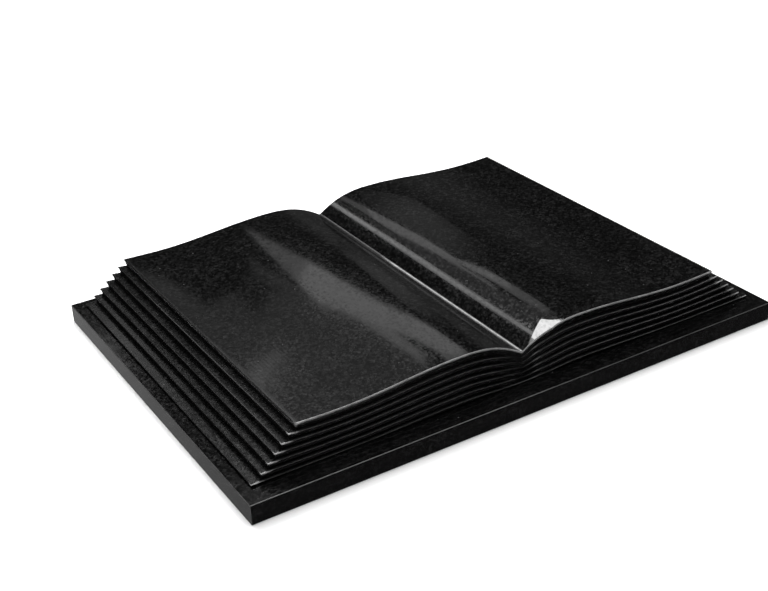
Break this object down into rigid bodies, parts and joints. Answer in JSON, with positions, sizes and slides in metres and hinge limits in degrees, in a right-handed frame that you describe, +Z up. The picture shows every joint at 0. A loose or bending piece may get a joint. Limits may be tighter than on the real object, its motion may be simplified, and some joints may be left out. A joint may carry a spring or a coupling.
{
  "type": "open book headstone",
  "caption": "Memorial book lying open on a thin granite slab, with page wings curving down from a V at the spine and leaves stepped at the edges.",
  "frame": {"origin": "centre of the slab's underside, on the ground", "axes": "+X across the two pages to the right, +Y along the spine from the tail of the book to its head, +Z up"},
  "size_m": [0.6, 0.43, 0.0704],
  "materials": {
    "slab_granite": "polished black granite",
    "book_granite": "polished black granite"
  },
  "bodies": {
    "root": {"base_slab": "slab_granite", "page_block": "book_granite"}
  },
  "joints": []
}
